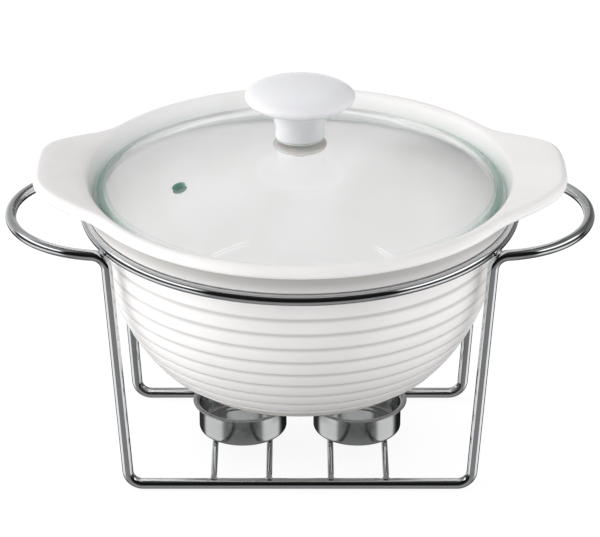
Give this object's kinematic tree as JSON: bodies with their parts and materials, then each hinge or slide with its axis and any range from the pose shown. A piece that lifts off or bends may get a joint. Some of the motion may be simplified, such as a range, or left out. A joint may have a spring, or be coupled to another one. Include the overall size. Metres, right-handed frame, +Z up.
{
  "type": "casserole warmer set",
  "caption": "Round glazed casserole with side lugs and a glass lid with a mushroom knob, on a chromed wire stand with loop handles and candle cups.",
  "frame": {"origin": "on the table, under the axis of the dish", "axes": "+X through the two lugs and the stand's loop handles, +Y to the rear, +Z up"},
  "size_m": [0.2702, 0.206, 0.1836],
  "materials": {
    "glaze": "gloss",
    "lid_glass": "clear",
    "white_plastic": "gloss",
    "brass": "machined",
    "silicone": "satin",
    "steel": "polished",
    "chrome": "polished"
  },
  "bodies": {
    "stand": {"front_frame_wire": "chrome", "rear_frame_wire": "chrome", "support_ring": "chrome", "left_cup_outer_wire": "chrome", "left_cup_inner_wire": "chrome", "right_cup_inner_wire": "chrome", "right_cup_outer_wire": "chrome", "left_candle_cup": "steel", "right_candle_cup": "steel"},
    "dish": {"casserole_dish": "glaze"},
    "lid": {"lid_glass": "lid_glass", "lid_knob": "white_plastic", "knob_insert": "brass", "knob_screw": "steel", "top_gasket": "silicone", "under_gasket": "silicone", "steel_washer": "steel"}
  },
  "joints": [
    {"name": "dish_lift", "type": "slide", "parent": "stand", "child": "dish", "axis": [0, 0, 1], "range_m": [0, 0.11]},
    {"name": "lid_lift", "type": "slide", "parent": "dish", "child": "lid", "axis": [0, 0, 1], "range_m": [0, 0.08]}
  ]
}
